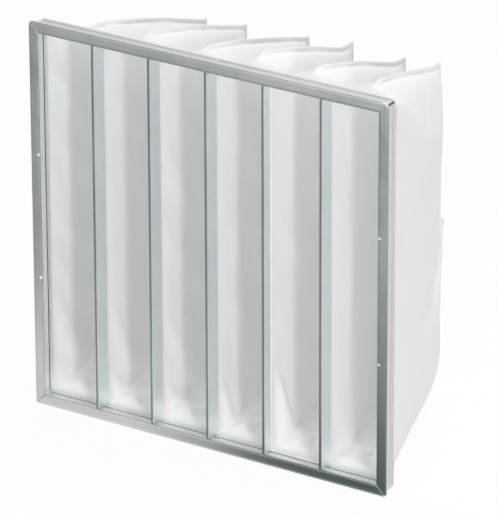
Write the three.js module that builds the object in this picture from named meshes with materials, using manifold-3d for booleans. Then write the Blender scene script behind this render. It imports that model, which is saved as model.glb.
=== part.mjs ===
// Bag air filter: six fabric pockets held in a galvanised steel header frame.
// Millimetres, +Z up. X runs along the header's width and Y from its front face to the pockets' rear.
// The origin is under the middle of the whole filter, level with the header's lower edge.
import * as THREE from "three";
import { mergeVertices } from "three/addons/utils/BufferGeometryUtils.js";
import Module from "manifold-3d";

const wasm = await Module();
wasm.setup();

// Header: one roll-formed strip, bent round three corners and closed at the lower left one
const headerWidth = 592;
const headerHeight = 592;
const headerDepth = 25;
const headerSheet = 1;
const faceWidth = 16; // flat front face, from the outer edge to the mouth
const lipDepth = 12; // lip that turns back from the inner edge of the face
const hemDepth = 3.4; // folded outer edge of the face, seen from the side
const grooveDepth = 5; // how far the outer wall lies inside the hem
const hookReach = 3; // rear lip, standing out from the outer wall
const hookReturn = 2.6; // length of the rear lip's forward curl
const hookNotch = 9; // rear lip cut away at each corner, so that the strip can bend
const closedCornerRadius = 1.5; // lower left, where the two ends of the strip meet
const lowerCornerRadius = 6.5;
const upperRightCornerRadius = 11;
const upperLeftCornerRadius = 6.5;
const mitreSlit = 0.7; // open joint on the face of the closed corner
const dimpleRadius = 2.6; // pressed dimples that lock the pack of pockets in the header
const dimpleDepth = 0.75;
const dimpleOffset = 95; // above and below the middle of each upright

// Clearance between neighbouring pieces, and the thin sheets inside the header
const clearance = 0.25;
const clipSheet = 0.6; // U-shaped divider between two pockets
const clipEndGap = 1; // between a divider's end and the header's lip
const clipTabReach = 3.5; // how far a divider's tab hooks behind the lip
const frameSheet = 0.5; // strip of a pocket's mouth frame
const frameDepth = 8;
const frameSetback = 3; // gap between the header's lip and the mouth frames
const frameStep = 0.5; // how far a mouth frame lies outside the header's lip
const frameCornerRadius = 3;
const stripSheet = 0.7; // retaining strips behind the mouth frames

// Pockets
const pocketCount = 6;
const pocketLength = 360; // header's front face to the end of the rear seam
const mediaThickness = 2.4;
const pinchedMedia = 0.6; // media squeezed between mouth frame and divider
const seamFlange = 8; // sewn edge that stands out at top, bottom and rear
const seamThickness = 2.4;
const gussetLength = 80; // depth of the triangular fold behind the mouth
const neckShare = 0.94; // width behind that fold, as a share of the mouth's
const ridgePower = 1.2; // the upper seam falls faster towards its rear
const earStart = 0.8; // share of the seam's run after which its corner rises
const bottomRise = 27; // rise of the lower seam from the mouth to the rear
const upperRounding = 62; // height over which the cheeks close on the upper seam
const lowerRounding = 26; // and on the lower seam
// One value for each pocket, from left to right: how far its soft rear end hangs to the right,
// how far its upper seam rises over the mouth behind the fold, how far the seam's rear end lies
// below the top of the header, and how far the seam's corner stands up there like an ear.
const rearDrift = [3, -21, -7, -26, -35, -67];
const shoulderRise = [-4, 3, 1, 12, 10, 10];
const rearDrop = [96, 90, 86, 88, 92, 82];
const earLift = [0, 1, 0, 10, 8, 6];
const driftPower = 1.7; // the mouth holds a bag straight, so it leans towards its rear
const creaseDepth = [4, 6, 3, 5, 4, 19]; // fold across the rear seam, left by flat packing
const creaseHeight = 304; // above the header's lower edge
const creaseReach = 24; // the fold fades over this height, above and below
const creaseBulge = 0.35; // share of the fold's depth that stands out just below it

// Places that follow from the sizes above
const frameFront = lipDepth + frameSetback;
const frameRear = frameFront + frameDepth;
const mouthInset = faceWidth - frameStep - frameSheet - clearance - pinchedMedia;
const pitch = (headerWidth - 2 * mouthInset + clearance) / pocketCount;
const pocketWidth = pitch - clearance;
const pocketTop = headerHeight - mouthInset;
const pocketBottom = mouthInset;
const clipWidth = clearance + 2 * (pinchedMedia + clearance + frameSheet + clearance + clipSheet);
const rearSeam = pocketLength - seamFlange;
const middleHeight = headerHeight / 2;
const overallDepth = pocketLength + Math.max(...creaseDepth) * creaseBulge;

const galvanised = new THREE.MeshStandardMaterial({ color: 0xb4babb, roughness: 0.38, metalness: 0.85 });
const brightSteel = new THREE.MeshStandardMaterial({ color: 0xc6cccc, roughness: 0.32, metalness: 0.85 });
const media = new THREE.MeshStandardMaterial({ color: 0xf1f3f3, roughness: 0.95, metalness: 0 });

const filter = new THREE.Group();

function addPiece(name, geometry, material) {
  const mesh = new THREE.Mesh(geometry, material);
  mesh.name = name;
  filter.add(mesh);
}

// A three.js geometry as a solid that can be joined and cut.
function toSolid(geometry) {
  const bare = geometry.clone();
  bare.deleteAttribute("normal");
  bare.deleteAttribute("uv");
  const merged = mergeVertices(bare, 1e-4);
  return new wasm.Manifold(
    new wasm.Mesh({
      numProp: 3,
      vertProperties: new Float32Array(merged.attributes.position.array),
      triVerts: new Uint32Array(merged.index.array),
    }),
  );
}

function toGeometry(solid) {
  const mesh = solid.getMesh();
  const geometry = new THREE.BufferGeometry();
  geometry.setAttribute("position", new THREE.BufferAttribute(mesh.vertProperties, 3));
  geometry.setIndex(new THREE.BufferAttribute(mesh.triVerts, 1));
  geometry.computeVertexNormals();
  return geometry;
}

function block(x0, x1, y0, y1, z0, z1) {
  return toSolid(
    new THREE.BoxGeometry(x1 - x0, y1 - y0, z1 - z0).translate((x0 + x1) / 2, (y0 + y1) / 2, (z0 + z1) / 2),
  );
}

// A skin over rings of equal point count. It closes on its first ring, or ends in two caps.
function skin(rings, closed) {
  const count = rings[0].length;
  const positions = rings.flat().flatMap((point) => [point.x, point.y, point.z]);
  const faces = [];
  const spans = closed ? rings.length : rings.length - 1;
  for (let r = 0; r < spans; r++) {
    const here = r * count;
    const next = ((r + 1) % rings.length) * count;
    for (let i = 0; i < count; i++) {
      const j = (i + 1) % count;
      faces.push(here + i, here + j, next + j);
      faces.push(here + i, next + j, next + i);
    }
  }
  if (!closed) {
    const flat = (ring) => ring.map((point) => new THREE.Vector2(point.x, point.z));
    const last = (rings.length - 1) * count;
    for (const [a, b, c] of THREE.ShapeUtils.triangulateShape(flat(rings[0]), [])) faces.push(c, b, a);
    for (const [a, b, c] of THREE.ShapeUtils.triangulateShape(flat(rings.at(-1)), [])) {
      faces.push(last + a, last + b, last + c);
    }
  }
  const geometry = new THREE.BufferGeometry();
  geometry.setAttribute("position", new THREE.Float32BufferAttribute(positions, 3));
  geometry.setIndex(faces);
  geometry.computeVertexNormals();
  return geometry;
}

// The outline of a sheet bent along a centre line, with its bends mitred.
function bentSheet(line, thickness) {
  const half = thickness / 2;
  const side = (sign) =>
    line.map((point, i) => {
      const before = line[Math.max(i - 1, 0)];
      const after = line[Math.min(i + 1, line.length - 1)];
      const into = i > 0 ? point.clone().sub(before).normalize() : after.clone().sub(point).normalize();
      const out = i < line.length - 1 ? after.clone().sub(point).normalize() : into;
      const normal = new THREE.Vector2(-into.y - out.y, into.x + out.x).normalize();
      const reach = half / Math.max(0.3, normal.dot(new THREE.Vector2(-into.y, into.x)));
      return point.clone().addScaledVector(normal, sign * reach);
    });
  return [...side(1), ...side(-1).reverse()];
}

// Sweeps a section round a rectangle. A section point is (inset from the outer edge, depth),
// and a corner's radius shrinks with the inset until the corner is square.
function sweepRound(section, width, height, radii, steps, centreX, centreZ) {
  const rings = [];
  const corners = [
    [-1, -1, Math.PI],
    [1, -1, 1.5 * Math.PI],
    [1, 1, 0],
    [-1, 1, 0.5 * Math.PI],
  ];
  const leastRadius = 0.2;
  corners.forEach(([sideX, sideZ, start], corner) => {
    for (let s = 0; s <= steps; s++) {
      const angle = start + (s / steps) * (Math.PI / 2);
      rings.push(
        section.map(({ x: inset, y: depth }) => {
          const radius = Math.max(leastRadius, radii[corner] - inset);
          const x = sideX * (width / 2 - inset - radius) + radius * Math.cos(angle);
          const z = sideZ * (height / 2 - inset - radius) + radius * Math.sin(angle);
          return new THREE.Vector3(centreX + x, depth, centreZ + z);
        }),
      );
    }
  });
  return skin(rings, true);
}

// Header frame
function headerSection() {
  const half = headerSheet / 2;
  const outerBend = 1.1;
  const wall = grooveDepth + half;
  const line = [
    [faceWidth - half, lipDepth],
    [faceWidth - half, half],
    [half + outerBend, half],
    [half + outerBend * 0.3, half + outerBend * 0.3],
    [half, half + outerBend],
    [half, hemDepth - half],
    [wall, hemDepth - half],
    [wall, headerDepth - half],
    [wall - hookReach, headerDepth - half],
    [wall - hookReach, headerDepth - hookReturn],
  ];
  return bentSheet(line.map(([inset, depth]) => new THREE.Vector2(inset, depth)), headerSheet);
}

function dimple(side, z) {
  const ballRadius = (dimpleRadius ** 2 + dimpleDepth ** 2) / (2 * dimpleDepth);
  const ball = new THREE.SphereGeometry(ballRadius, 24, 16);
  const x = side * (headerWidth / 2 - faceWidth + dimpleRadius);
  return toSolid(ball.translate(x, dimpleDepth - ballRadius, z));
}

function headerFrame() {
  const radii = [closedCornerRadius, lowerCornerRadius, upperRightCornerRadius, upperLeftCornerRadius];
  let frame = toSolid(
    sweepRound(headerSection(), headerWidth, headerHeight, radii, 5, 0, middleHeight),
  );
  // The rear lip stops short of every corner.
  const lipFront = headerDepth - hookReturn - headerSheet;
  const slack = 1;
  for (const side of [-1, 1]) {
    const outer = side * (headerWidth / 2 + slack);
    const inner = side * (headerWidth / 2 - hookNotch);
    const wall = side * (headerWidth / 2 - grooveDepth);
    for (const top of [false, true]) {
      const edge = top ? headerHeight + slack : -slack;
      const notchEnd = top ? headerHeight - hookNotch : hookNotch;
      const wallZ = top ? headerHeight - grooveDepth : grooveDepth;
      const cut = (x0, x1, z0, z1) =>
        block(Math.min(x0, x1), Math.max(x0, x1), lipFront, headerDepth + slack, Math.min(z0, z1), Math.max(z0, z1));
      frame = frame.subtract(cut(outer, wall, edge, notchEnd));
      frame = frame.subtract(cut(outer, inner, edge, wallZ));
    }
  }
  // Open mitre on the face of the closed corner, through the face and the lip.
  const slitLength = faceWidth * Math.SQRT2 + 4;
  const slit = new THREE.BoxGeometry(slitLength, headerSheet * 1.2, mitreSlit);
  slit.rotateY(-Math.PI / 4);
  const slitMiddle = faceWidth / 2 + 0.6;
  slit.translate(-headerWidth / 2 + slitMiddle, headerSheet * 0.5, slitMiddle);
  frame = frame.subtract(toSolid(slit));
  for (const side of [-1, 1]) {
    for (const offset of [-dimpleOffset, dimpleOffset]) {
      frame = frame.subtract(dimple(side, middleHeight + offset));
    }
  }
  return toGeometry(frame);
}

// Divider: a U open to the rear that grips two mouth frames and the media over them
function divider(x) {
  const half = clipWidth / 2;
  const outline = new THREE.Shape([
    new THREE.Vector2(-half, 0),
    new THREE.Vector2(half, 0),
    new THREE.Vector2(half, headerDepth),
    new THREE.Vector2(half - clipSheet, headerDepth),
    new THREE.Vector2(half - clipSheet, clipSheet),
    new THREE.Vector2(-half + clipSheet, clipSheet),
    new THREE.Vector2(-half + clipSheet, headerDepth),
    new THREE.Vector2(-half, headerDepth),
  ]);
  const reach = faceWidth - clipTabReach;
  const length = headerHeight - 2 * reach;
  const channel = new THREE.ExtrudeGeometry(outline, { depth: length, bevelEnabled: false });
  let clip = toSolid(channel.translate(x, 0, reach));
  const shoulder = faceWidth + clipEndGap;
  const tabFront = lipDepth + clearance;
  const tabRear = frameFront - clearance;
  const slack = 1;
  for (const [z0, z1] of [
    [reach - slack, shoulder],
    [headerHeight - shoulder, headerHeight - reach + slack],
  ]) {
    clip = clip.subtract(block(x - half - slack, x + half + slack, -slack, tabFront, z0, z1));
    clip = clip.subtract(block(x - half - slack, x + half + slack, tabRear, headerDepth + slack, z0, z1));
  }
  return toGeometry(clip);
}

// Mouth frame: a flat strip bent to a rectangle inside a pocket's mouth
function mouthFrame(x) {
  const section = [
    new THREE.Vector2(0, frameFront),
    new THREE.Vector2(0, frameRear),
    new THREE.Vector2(frameSheet, frameRear),
    new THREE.Vector2(frameSheet, frameFront),
  ];
  const inset = pinchedMedia + clearance;
  const width = pocketWidth - 2 * inset;
  const height = pocketTop - pocketBottom - 2 * inset;
  const radii = [1, 1, 1, 1].map((share) => share * frameCornerRadius);
  return sweepRound(section, width, height, radii, 3, x, middleHeight);
}

// Retaining strip: an angle that holds the media against the mouth frames from behind
function retainingStrip(length) {
  const wall = grooveDepth + headerSheet + clearance;
  const edge = mouthInset - clearance;
  const front = frameFront + clearance;
  const rear = headerDepth - clearance;
  const angle = new THREE.Shape([
    new THREE.Vector2(wall, front),
    new THREE.Vector2(wall + stripSheet, front),
    new THREE.Vector2(wall + stripSheet, rear - stripSheet),
    new THREE.Vector2(edge, rear - stripSheet),
    new THREE.Vector2(edge, rear),
    new THREE.Vector2(wall, rear),
  ]);
  // Drawn in X and Y, extruded along Z: X is the inset from the header's outer edge.
  return new THREE.ExtrudeGeometry(angle, { depth: length, bevelEnabled: false }).translate(0, 0, -length / 2);
}

function addRetainingStrips() {
  const wall = grooveDepth + headerSheet + clearance;
  const uprightLength = headerHeight - 2 * (mouthInset + clearance);
  const cornerRoom = Math.max(upperLeftCornerRadius, upperRightCornerRadius, lowerCornerRadius);
  const railLength = headerWidth - 2 * (cornerRoom + clearance);
  const quarter = Math.PI / 2;
  const place = (geometry, turn, x, z) => geometry.rotateY(turn).translate(x, 0, z);
  const strips = {
    retaining_strip_left: place(retainingStrip(uprightLength), 0, -headerWidth / 2, middleHeight),
    retaining_strip_right: place(retainingStrip(uprightLength), 2 * quarter, headerWidth / 2, middleHeight),
    retaining_strip_bottom: place(retainingStrip(railLength), -quarter, 0, 0),
    retaining_strip_top: place(retainingStrip(railLength), quarter, 0, headerHeight),
  };
  for (const [name, geometry] of Object.entries(strips)) addPiece(name, geometry, galvanised);
}

const smooth = (t) => t * t * (3 - 2 * t);
const clamp = (t) => Math.min(1, Math.max(0, t));
const mix = (a, b, t) => a + (b - a) * t;

// How a pocket's section changes with its depth. Lengths are millimetres.
function pocketShape(index, depth) {
  const held = headerDepth + 1; // the mouth keeps its section as far as this
  const along = clamp((depth - held) / (rearSeam - held));
  const gusset = clamp((depth - held) / gussetLength);
  const mouthHalf = pocketWidth / 2;
  const seamHalf = seamThickness / 2;
  // Wide behind the mouth, then a wedge with rounded cheeks that ends in the rear seam.
  const neck = mix(1, neckShare, smooth(gusset));
  const wedge = Math.sqrt(Math.max(0, 1 - along ** 2.1));
  const halfWidth = Math.max(seamHalf + 0.3, mouthHalf * neck * mix(wedge, 1 - along, 0.35));
  const shoulder = pocketTop + shoulderRise[index] * smooth(gusset);
  const behind = clamp((depth - held - gussetLength) / (rearSeam - held - gussetLength));
  const ear = clamp((behind - earStart) / (1 - earStart));
  const fall = mix(0, shoulder - (headerHeight - rearDrop[index]), behind ** ridgePower);
  const top = shoulder - fall + earLift[index] * ear ** 2;
  const bottom = pocketBottom + bottomRise * along;
  const flange = seamFlange * smooth(gusset);
  return {
    centre: (index - (pocketCount - 1) / 2) * pitch + rearDrift[index] * along ** driftPower,
    halfWidth,
    top,
    bottom,
    flange,
    // Half the flat width at the upper and lower ends: wide at the mouth, a seam behind the gusset.
    endHalf: mix(mouthHalf - frameCornerRadius, seamHalf + 0.4, gusset),
    // Height over which the cheeks round off to a seam.
    lowerLength: mix(frameCornerRadius, lowerRounding, smooth(clamp(along / 0.4))),
    upperLength: mix(frameCornerRadius, upperRounding, smooth(clamp(along / 0.4))) * mix(1, 0.55, along ** 3),
    wall: mix(pinchedMedia, mediaThickness, gusset),
    seamHalf,
  };
}

// One closed ring of a pocket's section, from the lower seam up the right cheek and down the left.
function pocketRing(index, depth, inside) {
  const shape = pocketShape(index, depth);
  const wall = inside ? shape.wall : 0;
  const halfWidth = Math.max(0.45, shape.halfWidth - wall);
  const endHalf = Math.max(0.3, Math.min(shape.endHalf - wall, halfWidth * 0.98));
  const lowerLength = Math.max(1, shape.lowerLength - wall);
  const upperLength = Math.max(1, shape.upperLength - wall);
  const flange = inside ? shape.flange + wall : shape.flange;
  const base = { low: shape.bottom + flange, high: shape.top - flange };
  if (inside && shape.flange === 0) {
    base.low = shape.bottom + wall;
    base.high = shape.top - wall;
  }
  const tipHalf = inside ? endHalf * 0.5 : mix(endHalf * 0.5, shape.seamHalf, clamp(shape.flange / seamFlange));
  const tip = inside ? base : { low: shape.bottom, high: shape.top };
  const roundSteps = 3;
  const cheek = [];
  for (let i = 0; i <= roundSteps; i++) {
    const turn = (i / roundSteps) * (Math.PI / 2);
    cheek.push([mix(endHalf, halfWidth, Math.sin(turn)), base.low + lowerLength * (1 - Math.cos(turn))]);
  }
  const bulgeHeight = creaseHeight - creaseReach * 0.7;
  for (const z of [bulgeHeight - creaseReach, bulgeHeight, creaseHeight, creaseHeight + creaseReach]) {
    cheek.push([halfWidth, z]);
  }
  for (let i = roundSteps; i >= 0; i--) {
    const turn = (i / roundSteps) * (Math.PI / 2);
    const z = base.high - upperLength * (1 - Math.cos(turn));
    cheek.push([mix(endHalf, halfWidth, Math.sin(turn)), z]);
  }
  const right = cheek.map(([half, z]) => [half, z]);
  const left = cheek.map(([half, z]) => [-half, z]).reverse();
  const outline = [[tipHalf, tip.low], ...right, [tipHalf, tip.high], [-tipHalf, tip.high], ...left, [-tipHalf, tip.low]];
  // The fold pulls the rear seam forward at one height and lets it bulge just below.
  const rearShare = clamp((depth - rearSeam * 0.6) / (pocketLength - rearSeam * 0.6)) ** 2;
  return outline.map(([x, z]) => {
    let fold = 0;
    if (z === creaseHeight) fold = 1;
    if (z === bulgeHeight) fold = -creaseBulge;
    return new THREE.Vector3(shape.centre + x, depth - creaseDepth[index] * fold * rearShare, z);
  });
}

// Pocket: a bag of filter media, sewn at top, bottom and rear, open at its mouth
function pocket(index) {
  const mouth = frameFront + 0.5;
  const held = headerDepth + 1;
  const folded = [0.25, 0.5, 0.75, 1].map((share) => held + gussetLength * share);
  const deeper = [0.22, 0.42, 0.62, 0.8].map((share) => mix(held + gussetLength, rearSeam, share));
  const stations = [mouth, held, ...folded, ...deeper];
  const outer = [...stations, rearSeam, pocketLength].map((depth) => pocketRing(index, depth, false));
  const inner = [...stations, mix(held, rearSeam, 0.95)].map((depth) => pocketRing(index, depth, true));
  return skin([...outer.reverse(), ...inner], false);
}

addPiece("header_frame", headerFrame(), galvanised);
for (let i = 1; i < pocketCount; i++) {
  addPiece(`divider_${i}`, divider((i - pocketCount / 2) * pitch), brightSteel);
}
addRetainingStrips();
for (let i = 0; i < pocketCount; i++) {
  addPiece(`mouth_frame_${i + 1}`, mouthFrame((i - (pocketCount - 1) / 2) * pitch), brightSteel);
  addPiece(`pocket_${i + 1}`, pocket(i), media);
}

filter.position.y = -overallDepth / 2;

export default filter;
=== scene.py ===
# Bag air filter: six fabric pockets held in a square galvanised steel header.
# Metres, +Z up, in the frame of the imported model: the header's front face looks along -Y.
import math
import random

import bmesh
import bpy
import numpy as np
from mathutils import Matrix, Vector


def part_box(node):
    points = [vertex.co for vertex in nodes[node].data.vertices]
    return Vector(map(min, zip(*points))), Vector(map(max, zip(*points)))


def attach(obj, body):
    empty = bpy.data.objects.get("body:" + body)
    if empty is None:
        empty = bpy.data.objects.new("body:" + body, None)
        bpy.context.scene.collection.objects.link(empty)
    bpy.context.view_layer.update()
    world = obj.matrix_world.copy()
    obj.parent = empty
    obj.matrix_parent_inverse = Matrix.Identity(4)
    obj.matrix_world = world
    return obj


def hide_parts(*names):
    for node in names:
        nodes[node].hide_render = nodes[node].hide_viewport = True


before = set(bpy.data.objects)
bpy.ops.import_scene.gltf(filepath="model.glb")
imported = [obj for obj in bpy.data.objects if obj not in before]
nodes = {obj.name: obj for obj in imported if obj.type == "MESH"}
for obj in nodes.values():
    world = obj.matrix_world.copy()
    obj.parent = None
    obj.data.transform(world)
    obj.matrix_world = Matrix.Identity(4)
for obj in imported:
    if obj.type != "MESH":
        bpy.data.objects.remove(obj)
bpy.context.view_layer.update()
mm = 0.001


headerLow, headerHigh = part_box("header_frame")
print("frame loaded:", len(nodes), "nodes")


# Camera: a long lens, right of the filter and above it
camera = {
    "place": (3.798, -6.013, 3.330),
    "turn": (66.452, 0.188, 32.512),
    "lens": 380.0,
    "sensor": 36.0,
    "clipEnd": 40.0,
}


def addCamera():
    bpy.ops.object.camera_add(
        location=camera["place"], rotation=[math.radians(angle) for angle in camera["turn"]]
    )
    made = bpy.context.object
    made.name = "viewCamera"
    made.data.lens = camera["lens"]
    made.data.sensor_width = camera["sensor"]
    made.data.clip_end = camera["clipEnd"]
    made.data.dof.use_dof = False
    bpy.context.scene.camera = made


# Shader maths: a wrapped socket that adds Math nodes for ordinary expressions
class Shade:
    def __init__(self, tree, socket=None):
        self.tree = tree
        self.socket = socket

    def node(self, kind, settings=None, sockets=None, out=0):
        made = self.tree.nodes.new(kind)
        for name, value in (settings or {}).items():
            if name == "stops":
                ramp = made.color_ramp
                while len(ramp.elements) < len(value):
                    ramp.elements.new(0.5)
                for element, (place, colour) in zip(ramp.elements, value):
                    element.position = place
                    element.color = (*colour, 1)
            else:
                setattr(made, name, value)
        for name, value in (sockets or {}).items():
            if isinstance(value, Shade):
                self.tree.links.new(value.socket, made.inputs[name])
            else:
                made.inputs[name].default_value = value
        return Shade(self.tree, made.outputs[out])

    def maths(self, operation, *values, clamp=False):
        sockets = dict(enumerate(values))
        return self.node("ShaderNodeMath", {"operation": operation, "use_clamp": clamp}, sockets)

    def __add__(self, other):
        return self.maths("ADD", self, other)

    def __sub__(self, other):
        return self.maths("SUBTRACT", self, other)

    def __mul__(self, other):
        return self.maths("MULTIPLY", self, other)

    def __rsub__(self, other):
        return self.maths("SUBTRACT", other, self)

    __radd__ = __add__
    __rmul__ = __mul__

    def limit(self, low=0.0, high=1.0):
        return self.node("ShaderNodeClamp", None, {"Value": self, "Min": low, "Max": high})

    def between(self, low, high):  # 0 below low, 1 above high, smooth on the way
        settings = {"interpolation_type": "SMOOTHSTEP"}
        return self.node("ShaderNodeMapRange", settings, {"Value": self, 1: low, 2: high})

    def blend(self, first, second):  # this value picks between two colours
        colours = [(*c, 1) if isinstance(c, tuple) else c for c in (first, second)]
        sockets = {0: self, 6: colours[0], 7: colours[1]}
        return self.node("ShaderNodeMix", {"data_type": "RGBA"}, sockets, out=2)

    def noise(self, place, scale, detail=3.0, roughness=0.5):
        sockets = {"Vector": place, "Scale": scale, "Detail": detail, "Roughness": roughness}
        return self.node("ShaderNodeTexNoise", None, sockets)

    def stretched(self, place, scales):  # a pattern drawn out along the axes with low scales
        return self.node("ShaderNodeMapping", None, {"Vector": place, "Scale": scales})


def newMaterial(name, fixed):
    made = bpy.data.materials.new(name)
    made.use_nodes = True
    tree = made.node_tree
    shader = tree.nodes["Principled BSDF"]
    for socket, value in fixed.items():
        shader.inputs[socket].default_value = value
    return made, Shade(tree), shader


def feed(shader, socket, value):
    shader.id_data.links.new(value.socket, shader.inputs[socket])


def objectPlace(shade):
    return shade.node("ShaderNodeTexCoord", out=3)


def bumped(shade, height, distance, strength=1.0):
    return shade.node("ShaderNodeBump", None, {"Height": height, "Distance": distance, "Strength": strength})


# Studio: a white floor and backdrop. In reflections the floor before the header is a dark one,
# with a pool of light at the header's left foot.
studio = {
    "size": 44,
    "backdropPlace": (0, 18, 6),  # behind the camera of a rear view too
    "floorColour": (0.88, 0.88, 0.88),
    "darkNear": (0.05, 0.06, 0.06),
    "darkFar": (0.30, 0.315, 0.31),
    "darkStart": -0.1835,  # the dark floor starts here, and is at its lightest this far before it
    "darkReach": 0.30,
    "poolPlace": (-0.30, -0.19),
    "poolReach": 0.46,
    "poolShare": 0.62,
    "cameraShare": 0.95,  # how much of the floor and backdrop glows, to the camera and in reflections
    "floorShare": 0.85,
    "backdropShare": 0.60,
    "world": 0.39,
    "lamps": [
        # name, place, width, power, colour
        ("keyLamp", (3.85, -3.41, 1.65), 0.65, 72, (1.0, 0.995, 0.985)),
        ("fillLamp", (-0.4, -5.2, 0.65), 1.8, 100, (1.0, 1.0, 1.0)),
        ("topLamp", (0.4, 0.8, 3.2), 2.4, 52, (0.985, 0.995, 1.0)),
    ],
}


def addStage():
    bpy.ops.mesh.primitive_plane_add(size=studio["size"], location=(0, 0, 0))
    floor = bpy.context.object
    floor.name = "floor"
    bpy.ops.mesh.primitive_plane_add(
        size=studio["size"], location=studio["backdropPlace"], rotation=(math.pi / 2, 0, 0)
    )
    backdrop = bpy.context.object
    backdrop.name = "backdrop"
    for piece in (floor, backdrop):
        piece.data.materials.append(stageMaterial(piece is floor))


def stageMaterial(isFloor):
    made, shade, shader = newMaterial("studioFloor" if isFloor else "studioBackdrop", {"Roughness": 0.9})
    shader.inputs["Base Color"].default_value = (*studio["floorColour"], 1)
    tree = made.node_tree
    rays = tree.nodes.new("ShaderNodeLightPath")
    seen, glossy, through = [
        Shade(tree, rays.outputs[name]) for name in ("Is Camera Ray", "Is Glossy Ray", "Is Transmission Ray")
    ]
    mirrored = shade.maths("MAXIMUM", glossy, through) * studio["floorShare" if isFloor else "backdropShare"]
    white = shade.maths("MAXIMUM", seen * studio["cameraShare"], mirrored)
    output = tree.nodes["Material Output"]

    def mixShader(factor, first, second):
        mixed = tree.nodes.new("ShaderNodeMixShader")
        tree.links.new(factor.socket, mixed.inputs[0])
        tree.links.new(first, mixed.inputs[1])
        tree.links.new(second, mixed.inputs[2])
        return mixed.outputs[0]

    glow = shade.node("ShaderNodeEmission", None, {"Color": (1, 1, 1, 1), "Strength": 1.0})
    surface = mixShader(white, shader.outputs[0], glow.socket)
    if isFloor:
        split = shade.node("ShaderNodeSeparateXYZ", None, {"Vector": objectPlace(shade)}).socket.node
        x, y = Shade(tree, split.outputs[0]), Shade(tree, split.outputs[1])
        before = studio["darkStart"] - y
        poolX, poolY = studio["poolPlace"]
        away = shade.maths("SQRT", (x - poolX) * (x - poolX) + (y - poolY) * (y - poolY))
        pool = (1.0 - away.between(0.15, studio["poolReach"])) * studio["poolShare"]
        tone = before.between(0.03, studio["darkReach"]).blend(studio["darkNear"], studio["darkFar"])
        dark = shade.node("ShaderNodeEmission", None, {"Color": tone, "Strength": 1.0})
        surface = mixShader(glossy * before.between(0.0, 0.006) * (1.0 - pool), surface, dark.socket)
    tree.links.new(surface, output.inputs["Surface"])
    return made


def addLights():
    target = Vector((0, 0, 0.3))
    for name, place, width, power, colour in studio["lamps"]:
        bpy.ops.object.light_add(type="AREA", location=place)
        lamp = bpy.context.object
        lamp.name = name
        lamp.data.size = width
        lamp.data.energy = power
        lamp.data.color = colour
        lamp.rotation_euler = (target - lamp.location).to_track_quat("-Z", "Y").to_euler()
    world = bpy.data.worlds.new("studioWorld")
    world.use_nodes = True
    tree = world.node_tree
    background = tree.nodes["Background"]
    background.inputs["Color"].default_value = (1, 1, 1, 1)
    seen = Shade(tree, tree.nodes.new("ShaderNodeLightPath").outputs["Is Camera Ray"])
    level = studio["world"]
    strength = seen * (studio["cameraShare"] - level) + level
    tree.links.new(strength.socket, background.inputs["Strength"])
    bpy.context.scene.world = world


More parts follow.
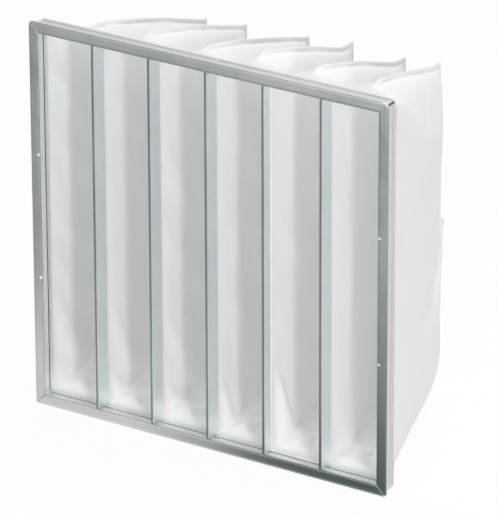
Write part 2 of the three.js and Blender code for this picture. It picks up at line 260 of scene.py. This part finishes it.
# Galvanised steel. The header's face is crowned between its two bends, its corners are mitred,
# and its lips, which face pale media or the white floor from close by, are painted pale as a painted reflection of
# them.
def galvanised(name, look):
    made, shade, shader = newMaterial(name, {})
    place = objectPlace(shade)
    split = shade.node("ShaderNodeSeparateXYZ", None, {"Vector": place}).socket.node
    x, y, z = [Shade(made.node_tree, split.outputs[i]) for i in range(3)]
    depth = y - headerLow.y
    edgeX = look["halfWidth"] - shade.maths("ABSOLUTE", x)
    edgeZ = look["halfWidth"] - shade.maths("ABSOLUTE", z - look["halfWidth"])
    upright = (edgeZ - edgeX).between(-0.0004, 0.0004)
    alongZ = shade.noise(shade.stretched(place, (1, 1, 0.02)), 900, 4, 0.6)
    alongX = shade.noise(shade.stretched(place, (0.02, 1, 1)), 900, 4, 0.6)
    streak = alongX + (alongZ - alongX) * upright
    cloud = shade.noise(place, 9, 3, 0.55)
    spangle = shade.node("ShaderNodeTexVoronoi", None, {"Vector": place, "Scale": look["spangle"]}, out=1)
    flake = shade.node("ShaderNodeRGBToBW", None, {"Color": spangle})
    tone = (cloud * 0.55 + streak * 0.35 + flake * 0.1).between(0.3, 0.7)
    colour = upright.blend(
        tone.blend(look["dark"], look["light"]), tone.blend(look["uprightDark"], look["uprightLight"])
    )
    height = streak * 0.6 + cloud * 0.4
    facing = 1.0 - depth.between(look["faceDepth"] * 0.7, look["faceDepth"])
    if "face" in look:
        if "clipPitch" in look:  # a divider's front edge is painted dark as painted shade, and goes back to its pale steel as a painted highlight where it bends back
            across = shade.maths("WRAP", x, look["clipPitch"] / 2, -look["clipPitch"] / 2)
            facing = facing * (1.0 - across.between(look["bendFrom"], look["bendFrom"] + 0.0003))
        feed(shader, "Base Color", facing.blend(colour, look["face"]))
        shader.inputs["Metallic"].default_value = look["metallic"]
        bend = 0.0
    else:
        edge = shade.maths("MINIMUM", edgeX, edgeZ)
        bends = shade.maths("MINIMUM", edge, look["faceWidth"] - edge)
        crown = bends.between(0.0, look["bendWidth"])
        # Painted highlight: a pale line along each mitre of the face; the mitre also dips as a fine groove in the
        # bump
        offMitre = shade.maths("ABSOLUTE", edgeX - edgeZ)
        mitre = (1.0 - offMitre.between(look["mitreWidth"] * 0.3, look["mitreWidth"])) * facing
        lip = edge.between(look["faceWidth"] - 0.0007, look["faceWidth"] - 0.0004)
        # Painted shade: the walls within the header's channel are painted nearly black where shade falls
        channelShadeMask = edge.between(look["wallInside"] - 0.0003, look["wallInside"]) * (1.0 - lip)
        # Painted light: the hook at the rear of the walls is painted pale and less metallic, so the groove before it
        # shows no shade
        rear = depth.between(look["hookDepth"] - 0.0003, look["hookDepth"]) * (1.0 - channelShadeMask)
        # Painted light: the outer walls are a paler, less metallic copy of the steel, at one level on the rails and
        # another on the side walls
        side = look["wallRailLight"] + (look["wallSideLight"] - look["wallRailLight"]) * upright
        wall = look["litWallColour"]
        litWallColour = shade.node("ShaderNodeCombineColor", None, {i: side * wall[i] for i in range(3)})
        # Painted highlight: a pale, less metallic spot on each dimple in the stiles
        dimpleZ = shade.maths("ABSOLUTE", shade.maths("ABSOLUTE", z - look["halfWidth"]) - look["dimpleOffset"])
        dimpleX = shade.maths("ABSOLUTE", edge - look["dimpleEdge"])
        dimple = 1.0 - shade.maths("SQRT", dimpleZ * dimpleZ + dimpleX * dimpleX).between(0.0017, 0.0024)
        dimple = dimple * facing * upright
        # Painted reflection: the face is painted lighter near the left foot and darker near the right foot
        right, left = [shade.maths("SQRT", (x - end) * (x - end) + z * z) for end in (0.296, -0.296)]
        colour = (1.0 - left.between(0.05, look["paintedFootLightReach"])).blend(colour, look["paintedFootLight"])
        colour = (1.0 - right.between(0.05, look["paintedFootShadeReach"])).blend(colour, look["paintedFootShade"])
        # Painted shade: the face is painted darker along both its bends
        colour = ((1.0 - crown) * facing * look["bendShadeShare"]).blend(colour, look["bend"])
        colour = dimple.blend(mitre.blend(colour, look["mitre"]), look["paintedLight"])
        paintedLight = shade.maths("MAXIMUM", lip, rear)
        walls = paintedLight.blend(channelShadeMask.blend(litWallColour, look["inside"]), look["paintedLight"])
        feed(shader, "Base Color", facing.blend(walls, colour))
        loss = (1.0 - facing + dimple) * look["wallLoss"] + rear * look["rearLoss"]
        feed(shader, "Metallic", look["metallic"] - loss)
        bend = crown * facing * look["crownHeight"] - mitre * look["mitreDepth"]
    feed(shader, "Roughness", look["roughness"] + (streak - 0.5) * 0.25 + (cloud - 0.5) * 0.2)
    feed(shader, "Normal", bumped(shade, height * look["grain"] * 0.4 + bend, 1.0))
    return made


steel = {
    "header": {
        "halfWidth": 0.296, "metallic": 0.96, "roughness": 0.38, "spangle": 260, "grain": 0.00004,
        "dark": (0.64, 0.67, 0.65), "light": (0.76, 0.78, 0.76),
        "uprightDark": (0.52, 0.57, 0.56), "uprightLight": (0.65, 0.69, 0.69),
        "faceDepth": 0.0012, "faceWidth": 0.016, "bendWidth": 0.0035, "crownHeight": 0.0004,
        "bend": (0.42, 0.47, 0.46), "bendShadeShare": 0.55, "mitreWidth": 0.0009, "mitreDepth": 0.0002, "mitre": (0.84, 0.87, 0.85),
        "paintedFootLight": (0.84, 0.82, 0.80), "paintedFootLightReach": 0.5, "paintedFootShade": (0.36, 0.42, 0.41), "paintedFootShadeReach": 0.42,
        "wallRailLight": 0.85, "wallSideLight": 0.80, "litWallColour": (0.93, 0.92, 0.915), "wallLoss": 0.5,
        "wallInside": 0.0058, "inside": (0.16, 0.19, 0.19), "hookDepth": 0.0205, "rearLoss": 0.3,
        "dimpleOffset": 0.095, "dimpleEdge": 0.0134, "paintedLight": (0.90, 0.91, 0.905),
    },
    "divider": {
        "halfWidth": 0.296, "metallic": 0.85, "roughness": 0.36, "spangle": 260, "grain": 0.00004,
        "dark": (0.84, 0.88, 0.90), "light": (0.93, 0.96, 0.97),
        "uprightDark": (0.84, 0.88, 0.90), "uprightLight": (0.93, 0.96, 0.97),
        "faceDepth": 0.0005, "face": (0.27, 0.33, 0.33), "clipPitch": 0.09399167, "bendFrom": 0.0008,
    },
    # Painted shade: the retaining strips are painted nearly black over their front, where shade falls between the
    # parts
    "strip": {
        "halfWidth": 0.296, "metallic": 0.9, "roughness": 0.42, "spangle": 260, "grain": 0.00004,
        "dark": (0.66, 0.69, 0.67), "light": (0.78, 0.80, 0.78),
        "uprightDark": (0.62, 0.67, 0.66), "uprightLight": (0.76, 0.80, 0.80),
        "faceDepth": 0.0236, "face": (0.14, 0.17, 0.17),
    },
}


# Filter media
media = {"colour": (0.972, 0.976, 0.978), "shade": (0.945, 0.952, 0.955), "roughness": 0.92}


def filterMedia():
    made, shade, shader = newMaterial("nonwovenMedia", {"Specular IOR Level": 0.25, "Sheen Weight": 0.15})
    place = objectPlace(shade)
    cloud = shade.noise(place, 55, 4, 0.6)
    felt = shade.noise(place, 700, 3, 0.7)
    feed(shader, "Base Color", (cloud * 0.7 + felt * 0.3).between(0.25, 0.75).blend(media["shade"], media["colour"]))
    feed(shader, "Roughness", media["roughness"] + (felt - 0.5) * 0.1)
    feed(shader, "Normal", bumped(shade, cloud * 0.5 + felt * 0.5, 0.0006, 0.35))
    return made


addCamera()
addStage()
addLights()
headerSteel = galvanised("headerSteel", steel["header"])
dividerSteel = galvanised("dividerSteel", steel["divider"])
stripSteel = galvanised("stripSteel", steel["strip"])
mediaMaterial = filterMedia()


def setMaterial(piece, material):
    piece.data.materials.clear()
    piece.data.materials.append(material)


# Pockets: each a bag of media whose mouth is pinched between mouth frame and header
bag = {
    "count": 6,
    "pitch": 93.99167 * mm,
    "width": 93.74167 * mm,
    "high": 577.85 * mm,
    "low": 14.15 * mm,
    "front": -183.325 * mm,  # header's front face
    "mouth": 15.5 * mm,
    "held": 26.0 * mm,
    "gusset": 54.0 * mm,
    "rearSeam": 352.0 * mm,
    "length": 360.0 * mm,
    "wall": 2.4 * mm,
    "pinched": 0.25,  # share of the wall left where the mouth is squeezed
    "seamHalf": 1.2 * mm,
    "flange": 8.0 * mm,
    "corner": 3.0 * mm,
    "neck": 0.94,
    "ridgePower": 1.2,
    "earStart": 0.8,
    "bottomRise": 27.0 * mm,
    "upperRounding": 62.0 * mm,
    "lowerRounding": 26.0 * mm,
    "driftPower": 1.7,
    "drift": [3, -21, -7, -26, -35, -67],
    "shoulder": [-4, 3, 1, 12, 10, 10],
    "drop": [100, 95, 91, 93, 98, 88],
    "ear": [0, 1, 0, 10, 8, 6],
    "crease": [4, 6, 3, 5, 4, 27],
    "creaseHeight": 280.0 * mm,
    "creaseReach": 10.0 * mm,
    "creaseBulge": 0.3,
    "lap": [0, 1, 0, 2, 1, 7],  # above that crease the rear seam stops short by this much
    "footPower": 1.35,
    "headerHeight": 592.0 * mm,
    "sway": 0.9 * mm,
    "roofCells": 7,
    "roundCells": 8,
    "cheekCells": 56,
    "depthCells": 48,
}


def smooth(t):
    return t * t * (3 - 2 * t)


def clamp(t):
    return min(1.0, max(0.0, t))


def mix(a, b, t):
    return a + (b - a) * t


def bagShape(index, depth):
    held, rear = bag["held"], bag["rearSeam"]
    along = clamp((depth - held) / (rear - held))
    gusset = clamp((depth - held) / bag["gusset"])
    behind = clamp((depth - held - bag["gusset"]) / (rear - held - bag["gusset"]))
    mouthHalf = bag["width"] / 2
    wedge = math.sqrt(max(0.0, 1 - along**2.1))
    half = mouthHalf * mix(1, bag["neck"], smooth(gusset)) * mix(wedge, 1 - along, 0.35)
    shoulder = bag["high"] + bag["shoulder"][index] * mm * smooth(gusset)
    ear = clamp((behind - bag["earStart"]) / (1 - bag["earStart"]))
    fall = (shoulder - bag["headerHeight"] + bag["drop"][index] * mm) * behind ** bag["ridgePower"]
    early = smooth(clamp(along / 0.4))
    return {
        "centre": (index - (bag["count"] - 1) / 2) * bag["pitch"]
        + bag["drift"][index] * mm * along ** bag["driftPower"],
        "half": max(bag["seamHalf"] + 0.3 * mm, half),
        "top": shoulder - fall + bag["ear"][index] * mm * ear**2,
        "bottom": bag["low"] + bag["bottomRise"] * along,
        "flange": bag["flange"] * smooth(gusset),
        "endHalf": mix(mouthHalf - bag["corner"], bag["seamHalf"] + 0.4 * mm, gusset),
        "lower": mix(bag["corner"], bag["lowerRounding"], early**2),
        "upper": mix(bag["corner"], bag["upperRounding"], early) * mix(1, 0.55, along**3),
        "gusset": gusset,
        "along": along,
    }


# Half of a bag's section as (distance from its middle, height), from the lower seam to the upper.
def bagHalfRing(index, depth):
    shape = bagShape(index, depth)
    roof, turnCells, cheekCells = bag["roofCells"], bag["roundCells"], bag["cheekCells"]
    endHalf = min(shape["endHalf"], shape["half"] * 0.98)
    share = clamp(shape["flange"] / bag["flange"])
    tipHalf = mix(0.0, bag["seamHalf"], share)
    ends = []
    for tip, flange, rounding in (
        (shape["bottom"], shape["flange"], shape["lower"]),
        (shape["top"], -shape["flange"], -shape["upper"]),
    ):
        end = []
        for i in range(roof):
            t = i / roof
            end.append((mix(tipHalf, endHalf, t), tip + flange * t))
        for i in range(turnCells + 1):
            turn = i / turnCells * math.pi / 2
            end.append((mix(endHalf, shape["half"], math.sin(turn)), tip + flange + rounding * (1 - math.cos(turn))))
        ends.append(end)
    low, high = ends
    cheek = []
    for i in range(1, cheekCells):
        t = i / cheekCells
        cheek.append((shape["half"], mix(low[-1][1], high[-1][1], t)))
    return low + cheek + high[::-1]


def fold(index, depth, height):  # the crease left across the rear seam by flat packing
    reach, above = bag["creaseReach"], height - bag["creaseHeight"]
    pull = math.exp(-((above / reach) ** 2))
    swell = math.exp(-(((above + 1.9 * reach) / (1.5 * reach)) ** 2))
    start = bag["rearSeam"] * 0.6
    share = clamp((depth - start) / (bag["length"] - start)) ** 2
    lap = bag["lap"][index] * smooth(clamp(above / (2 * reach)))
    return (bag["crease"][index] * (bag["creaseBulge"] * swell - pull) - lap) * mm * share


def footLean(index, depth, height):  # a bag's foot leans evenly, its top mostly towards the rear
    along = clamp((depth - bag["held"]) / (bag["rearSeam"] - bag["held"]))
    more = along ** bag["footPower"] - along ** bag["driftPower"]
    return bag["drift"][index] * mm * more * clamp(1 - height / (0.6 * bag["high"]))


# Where the media bunches up behind a mouth: a mound on the bag's floor, and tucks across its walls.
# A mound is (sideways from the bag's middle, depth, height), a tuck is (side, depth and height of
# its two ends, how far it stands in, how soft it is towards the mouth and towards the rear).
bunching = {
    "moundWidth": 46.0 * mm,
    "moundDepth": 40.0 * mm,
    "reachUp": 34.0 * mm,
    "mounds": [(-14, 48, 9), (-20, 46, 6), (-24, 46, 9), (-14, 48, 6), (-22, 50, 8), (-16, 46, 6)],
    "tucks": [
        [(-1, 92, 560, 84, 60, 2, 34, 18)],
        [(-1, 112, 540, 104, 70, 2, 36, 18), (-1, 30, 60, 60, 22, 4, 14, 6)],
        [(-1, 60, 430, 96, 70, 2, 34, 16), (-1, 24, 72, 62, 26, 4, 16, 6)],
        [(-1, 70, 360, 112, 50, 3, 36, 14), (-1, 20, 120, 56, 22, 6, 24, 6)],
        [(-1, 22, 150, 64, 26, 10, 40, 6), (-1, 116, 330, 138, 60, 2, 34, 14)],
        [(-1, 118, 560, 110, 60, 2, 40, 18), (1, 352, 282, 262, 186, 5, 10, 7), (1, 385, 281, 236, 273, 7, 7, 7)],
    ],
}


def bunched(index, x, depth, height, low):  # how far a point moves: sideways, up
    sideways, right, deep = 0.0, *[value * mm for value in bunching["mounds"][index][:2]]
    tall = bunching["mounds"][index][2] * mm
    away = math.hypot((x - right) / bunching["moundWidth"], (depth - deep) / bunching["moundDepth"])
    up = tall * max(0.0, 1 - away) ** 1.15 * math.exp(-(((height - low) / bunching["reachUp"]) ** 2))
    for side, y0, z0, y1, z1, inward, nearSoft, farSoft in bunching["tucks"][index]:
        start, end = Vector((y0, z0)) * mm, Vector((y1, z1)) * mm
        line, point = end - start, Vector((depth, height)) - start
        t = point.dot(line) / line.length_squared
        ends = smooth(clamp((t + 0.15) / 0.3)) * smooth(clamp((1.15 - t) / 0.3))
        across = (point.x * line.y - point.y * line.x) / line.length * (1 if line.y > 0 else -1)
        soft = (nearSoft if across < 0 else farSoft) * mm
        onSide = smooth(clamp(side * x / (20 * mm)))
        sideways -= side * inward * mm * math.exp(-((across / soft) ** 2)) * ends * onSide
    return sideways, up


# The sewn edge is never quite straight: it sways by a millimetre or two along its length.
def sway(index, depth, height, share):
    along = math.sin(depth / (23 * mm) + 2.1 * index) + 0.6 * math.sin(depth / (11 * mm) + index)
    rear = math.sin(height / (37 * mm) + 1.7 * index) + 0.7 * math.sin(height / (19 * mm) - index)
    rearShare = clamp((depth - bag["rearSeam"] * 0.7) / (bag["rearSeam"] * 0.3)) ** 2
    return bag["sway"] * (along * share * (1 - rearShare) + rear * rearShare)


def bagMesh(index):
    held, rear = bag["held"], bag["rearSeam"]
    stations = [bag["mouth"], mix(bag["mouth"], held, 0.5)]
    stations += [mix(held, rear, i / bag["depthCells"]) for i in range(bag["depthCells"] + 1)]
    stations += [mix(rear, bag["length"], t) for t in (0.33, 0.67, 1.0)]
    shell = bmesh.new()
    pinLayer = shell.verts.layers.float.new("pin")
    rings = []
    roof = bag["roofCells"]
    for depth in stations:
        half = bagHalfRing(index, depth)
        shape = bagShape(index, depth)
        flangeShare = shape["flange"] / bag["flange"]
        ring = []
        for side in (1, -1):
            line = list(enumerate(half)) if side == 1 else list(enumerate(half))[::-1]
            for step, (x, z) in line:
                fromEnd = min(step, len(half) - 1 - step)
                seamShare = flangeShare * clamp(1.3 - fromEnd / roof)
                sideways, up = bunched(index, side * x, depth, z, shape["bottom"])
                free = smooth(clamp((depth - held) / (14 * mm)))
                place = Vector((
                    shape["centre"] + side * x + footLean(index, depth, z) + sway(index, depth, z, seamShare) + sideways * free,
                    bag["front"] + depth + fold(index, depth, z),
                    z + up * free,
                ))
                vertex = shell.verts.new(place)
                seamPin = flangeShare**3 * (1 - smooth(clamp((fromEnd - roof) / 5)))
                rearPin = smooth(clamp((depth - rear + 12 * mm) / (12 * mm)))
                mouthPin = 1 - smooth(clamp((depth - held) / (12 * mm)))
                vertex[pinLayer] = max(seamPin, rearPin, mouthPin)
                ring.append(vertex)
        rings.append(ring)
    for here, after in zip(rings, rings[1:]):
        for i in range(len(here)):
            j = (i + 1) % len(here)
            shell.faces.new((here[i], here[j], after[j], after[i]))
    last = rings[-1]
    for i in range(len(last) // 2 - 1):
        shell.faces.new((last[i], last[i + 1], last[-2 - i], last[-1 - i]))
    bmesh.ops.remove_doubles(shell, verts=shell.verts, dist=1e-6)
    bmesh.ops.recalc_face_normals(shell, faces=shell.faces)
    mesh = bpy.data.meshes.new(f"pocket_{index + 1}_bag")
    shell.to_mesh(mesh)
    shell.free()
    piece = bpy.data.objects.new(f"pocket_{index + 1}_bag", mesh)
    bpy.context.scene.collection.objects.link(piece)
    pins = piece.vertex_groups.new(name="held")
    for vertex, pin in zip(mesh.vertices, mesh.attributes["pin"].data):
        pins.add([vertex.index], pin.value, "REPLACE")
    return piece


# Stitches: one lozenge of thread, copied along both sides of a bag's sewn edge
stitch = {
    "length": 3.6 * mm,
    "gap": 1.6 * mm,
    "thickness": 0.8 * mm,
    "inset": 4.4 * mm,  # from the edge of the flange
    "standOff": 1.55 * mm,  # from the middle of the flange
    "corner": 9.0 * mm,
    "colour": (0.80, 0.81, 0.815),
}


def seamPlace(index, depth, height):
    centre = bagShape(index, min(depth, bag["rearSeam"]))["centre"]
    x = centre + footLean(index, depth, height) + sway(index, depth, height, 1.0)
    return Vector((x, bag["front"] + depth + fold(index, depth, height), height))


def seamPath(index):  # from the mouth along the top, down the rear and back along the bottom
    start = bag["held"] + bag["gusset"] + stitch["corner"]
    rear = bag["length"] - stitch["inset"]
    end = rear - stitch["corner"] * 0.3
    depths = [mix(start, end, i / 80) for i in range(81)]
    top = [(depth, bagShape(index, depth)["top"] - stitch["inset"]) for depth in depths]
    bottom = [(depth, bagShape(index, depth)["bottom"] + stitch["inset"]) for depth in depths[::-1]]
    high, low = top[-1][1] - stitch["corner"], bottom[0][1] + stitch["corner"]
    back = [(rear, mix(high, low, i / 120)) for i in range(121)]
    return [seamPlace(index, depth, height) for depth, height in top + back + bottom]


def stitchPattern():
    bpy.ops.object.select_all(action="DESELECT")
    bpy.ops.mesh.primitive_uv_sphere_add(segments=6, ring_count=4, radius=0.5)
    made = bpy.context.object
    bpy.ops.object.mode_set(mode="EDIT")
    bpy.ops.transform.resize(value=(stitch["thickness"], stitch["thickness"], stitch["length"]))
    bpy.ops.object.mode_set(mode="OBJECT")
    points = [vertex.co.copy() for vertex in made.data.vertices]
    faces = [list(face.vertices) for face in made.data.polygons]
    bpy.data.objects.remove(made)
    return points, faces


def addStitches(index, pattern, material):
    points, faces = pattern
    path = seamPath(index)
    places, carried = [], 0.0
    for here, after in zip(path, path[1:]):
        span = (after - here).length
        while carried < span:
            places.append((here.lerp(after, carried / span), (after - here).normalized()))
            carried += stitch["length"] + stitch["gap"]
        carried -= span
    allPoints, allFaces = [], []
    for place, along in places:
        turn = along.to_track_quat("Z", "Y")
        for side in (1, -1):
            base = len(allPoints)
            middleOf = place + Vector((side * stitch["standOff"], 0, 0))
            allPoints += [middleOf + turn @ point for point in points]
            allFaces += [[base + i for i in face] for face in faces]
    mesh = bpy.data.meshes.new(f"pocket_{index + 1}_stitches")
    mesh.from_pydata(allPoints, [], allFaces)
    mesh.materials.append(material)
    piece = bpy.data.objects.new(mesh.name, mesh)
    bpy.context.scene.collection.objects.link(piece)
    mesh.shade_smooth()
    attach(piece, "root")
    print(piece.name, len(places) * 2, "stitches")


def threadMaterial():
    made, shade, shader = newMaterial("threadPolyester", {"Specular IOR Level": 0.4})
    twist = shade.noise(objectPlace(shade), 1400, 2, 0.5)
    pale = stitch["colour"]
    feed(shader, "Base Color", twist.blend(tuple(c * 0.9 for c in pale), pale))
    feed(shader, "Roughness", 0.5 + twist * 0.2)
    feed(shader, "Normal", bumped(shade, twist, 0.0002, 0.5))
    return made


# Soft walls: a little too much media, pressed out from within, so that it folds as it likes
cloth = {
    "steps": 20,
    "swell": 0.006,
    "pressure": 0.7,
    "weight": 0.15,
    "bending": 3.0,
    "stiffness": 18.0,
    "furthest": 9.0 * mm,
    "ripple": 0.35 * mm,
    "apart": 0.6 * mm,
}


def meshPlaces(mesh):
    places = np.empty(len(mesh.vertices) * 3)
    mesh.vertices.foreach_get("co", places)
    return places.reshape(-1, 3)


def rippled(piece, index):  # uneven enough for the media to choose its folds
    draw = random.Random(40 + index)
    waves = [
        (draw.uniform(25, 70) * mm, draw.uniform(40, 110) * mm, draw.uniform(0, 6.3), draw.uniform(-0.5, 0.5))
        for _ in range(6)
    ]
    mesh = piece.data
    for vertex, pin in zip(mesh.vertices, mesh.attributes["pin"].data):
        side = 1 if vertex.normal.x > 0 else -1
        height = sum(
            math.sin((vertex.co.y + lean * vertex.co.z) / deep + side * phase) * math.cos(vertex.co.z / tall + phase)
            for deep, tall, phase, lean in waves
        )
        vertex.co += vertex.normal * height / 3 * cloth["ripple"] * (1 - pin.value)


def middle(index, depth):  # halfway between two pockets' centres at this depth
    first, second = bagShape(index, depth)["centre"], bagShape(index + 1, depth)["centre"]
    return (first + second) / 2


def simulate(pieces):
    scene = bpy.context.scene
    before = [meshPlaces(piece.data) for piece in pieces]
    for index, piece in enumerate(pieces):
        rippled(piece, index)
        soft = piece.modifiers.new("soft", "CLOTH")
        settings = soft.settings
        settings.quality = 5
        settings.mass = 0.25
        settings.air_damping = 6
        settings.tension_stiffness = cloth["stiffness"]
        settings.compression_stiffness = cloth["stiffness"]
        settings.shear_stiffness = cloth["stiffness"] / 3
        settings.bending_stiffness = cloth["bending"]
        settings.vertex_group_mass = "held"
        settings.shrink_min = -cloth["swell"]
        settings.use_pressure = True
        settings.uniform_pressure_force = cloth["pressure"]
        settings.effector_weights.gravity = cloth["weight"]
        soft.collision_settings.use_collision = False
        soft.point_cache.frame_end = cloth["steps"]
    for step in range(1, cloth["steps"] + 1):
        scene.frame_set(step)
    shapes = bpy.context.evaluated_depsgraph_get()
    for index, (piece, start) in enumerate(zip(pieces, before)):
        places = meshPlaces(piece.evaluated_get(shapes).data)
        moved = places - start
        length = np.linalg.norm(moved, axis=1, keepdims=True)
        furthest = cloth["furthest"]
        kept = furthest * np.tanh(length / furthest) / np.maximum(length, 1e-9)
        places = start + moved * kept
        for place in places:
            depth = place[1] - bag["front"]
            if index > 0:
                place[0] = max(place[0], middle(index - 1, depth) + cloth["apart"])
            if index < bag["count"] - 1:
                place[0] = min(place[0], middle(index, depth) - cloth["apart"])
        piece.modifiers.remove(piece.modifiers["soft"])
        piece.data.vertices.foreach_set("co", places.ravel())
        piece.data.update()
        print(piece.name, "softened, furthest", round(float(length.max()) * 1000, 1), "mm")
    scene.frame_set(1)


def finishBag(piece, index):
    wall = piece.vertex_groups.new(name="wallThickness")
    for vertex in piece.data.vertices:
        depth = vertex.co.y - bag["front"]
        t = smooth(clamp((depth - bag["held"]) / (20 * mm)))
        wall.add([vertex.index], mix(bag["pinched"], 1.0, t), "REPLACE")
    bpy.ops.object.select_all(action="DESELECT")
    bpy.context.view_layer.objects.active = piece
    piece.select_set(True)
    finer = piece.modifiers.new("finer", "SUBSURF")
    finer.levels = finer.render_levels = 1
    bpy.ops.object.modifier_apply(modifier=finer.name)
    solid = piece.modifiers.new("wall", "SOLIDIFY")
    solid.thickness = bag["wall"]
    solid.offset = -1
    solid.vertex_group = wall.name
    solid.use_rim = True
    bpy.ops.object.modifier_apply(modifier=solid.name)
    piece.data.attributes.remove(piece.data.attributes["pin"])
    piece.vertex_groups.clear()
    bpy.ops.object.shade_smooth()
    setMaterial(piece, mediaMaterial)
    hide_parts(f"pocket_{index + 1}")
    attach(piece, "root")
    print(piece.name, len(piece.data.polygons), "faces")


bags = [bagMesh(index) for index in range(bag["count"])]
pattern, thread = stitchPattern(), threadMaterial()
for index in range(bag["count"]):
    addStitches(index, pattern, thread)
simulate(bags)
for index, piece in enumerate(bags):
    finishBag(piece, index)

for name, piece in nodes.items():
    if name.startswith("pocket"):
        setMaterial(piece, mediaMaterial)
    elif name.startswith(("divider", "mouth")):
        setMaterial(piece, dividerSteel)
    elif name.startswith("retaining"):
        setMaterial(piece, stripSteel)
    else:
        setMaterial(piece, headerSteel)
    print(name, len(piece.data.polygons))

scene = bpy.context.scene
scene.view_settings.view_transform = "Standard"
scene.cycles.diffuse_bounces = 8  # white media sends light round many times
print("scene built")
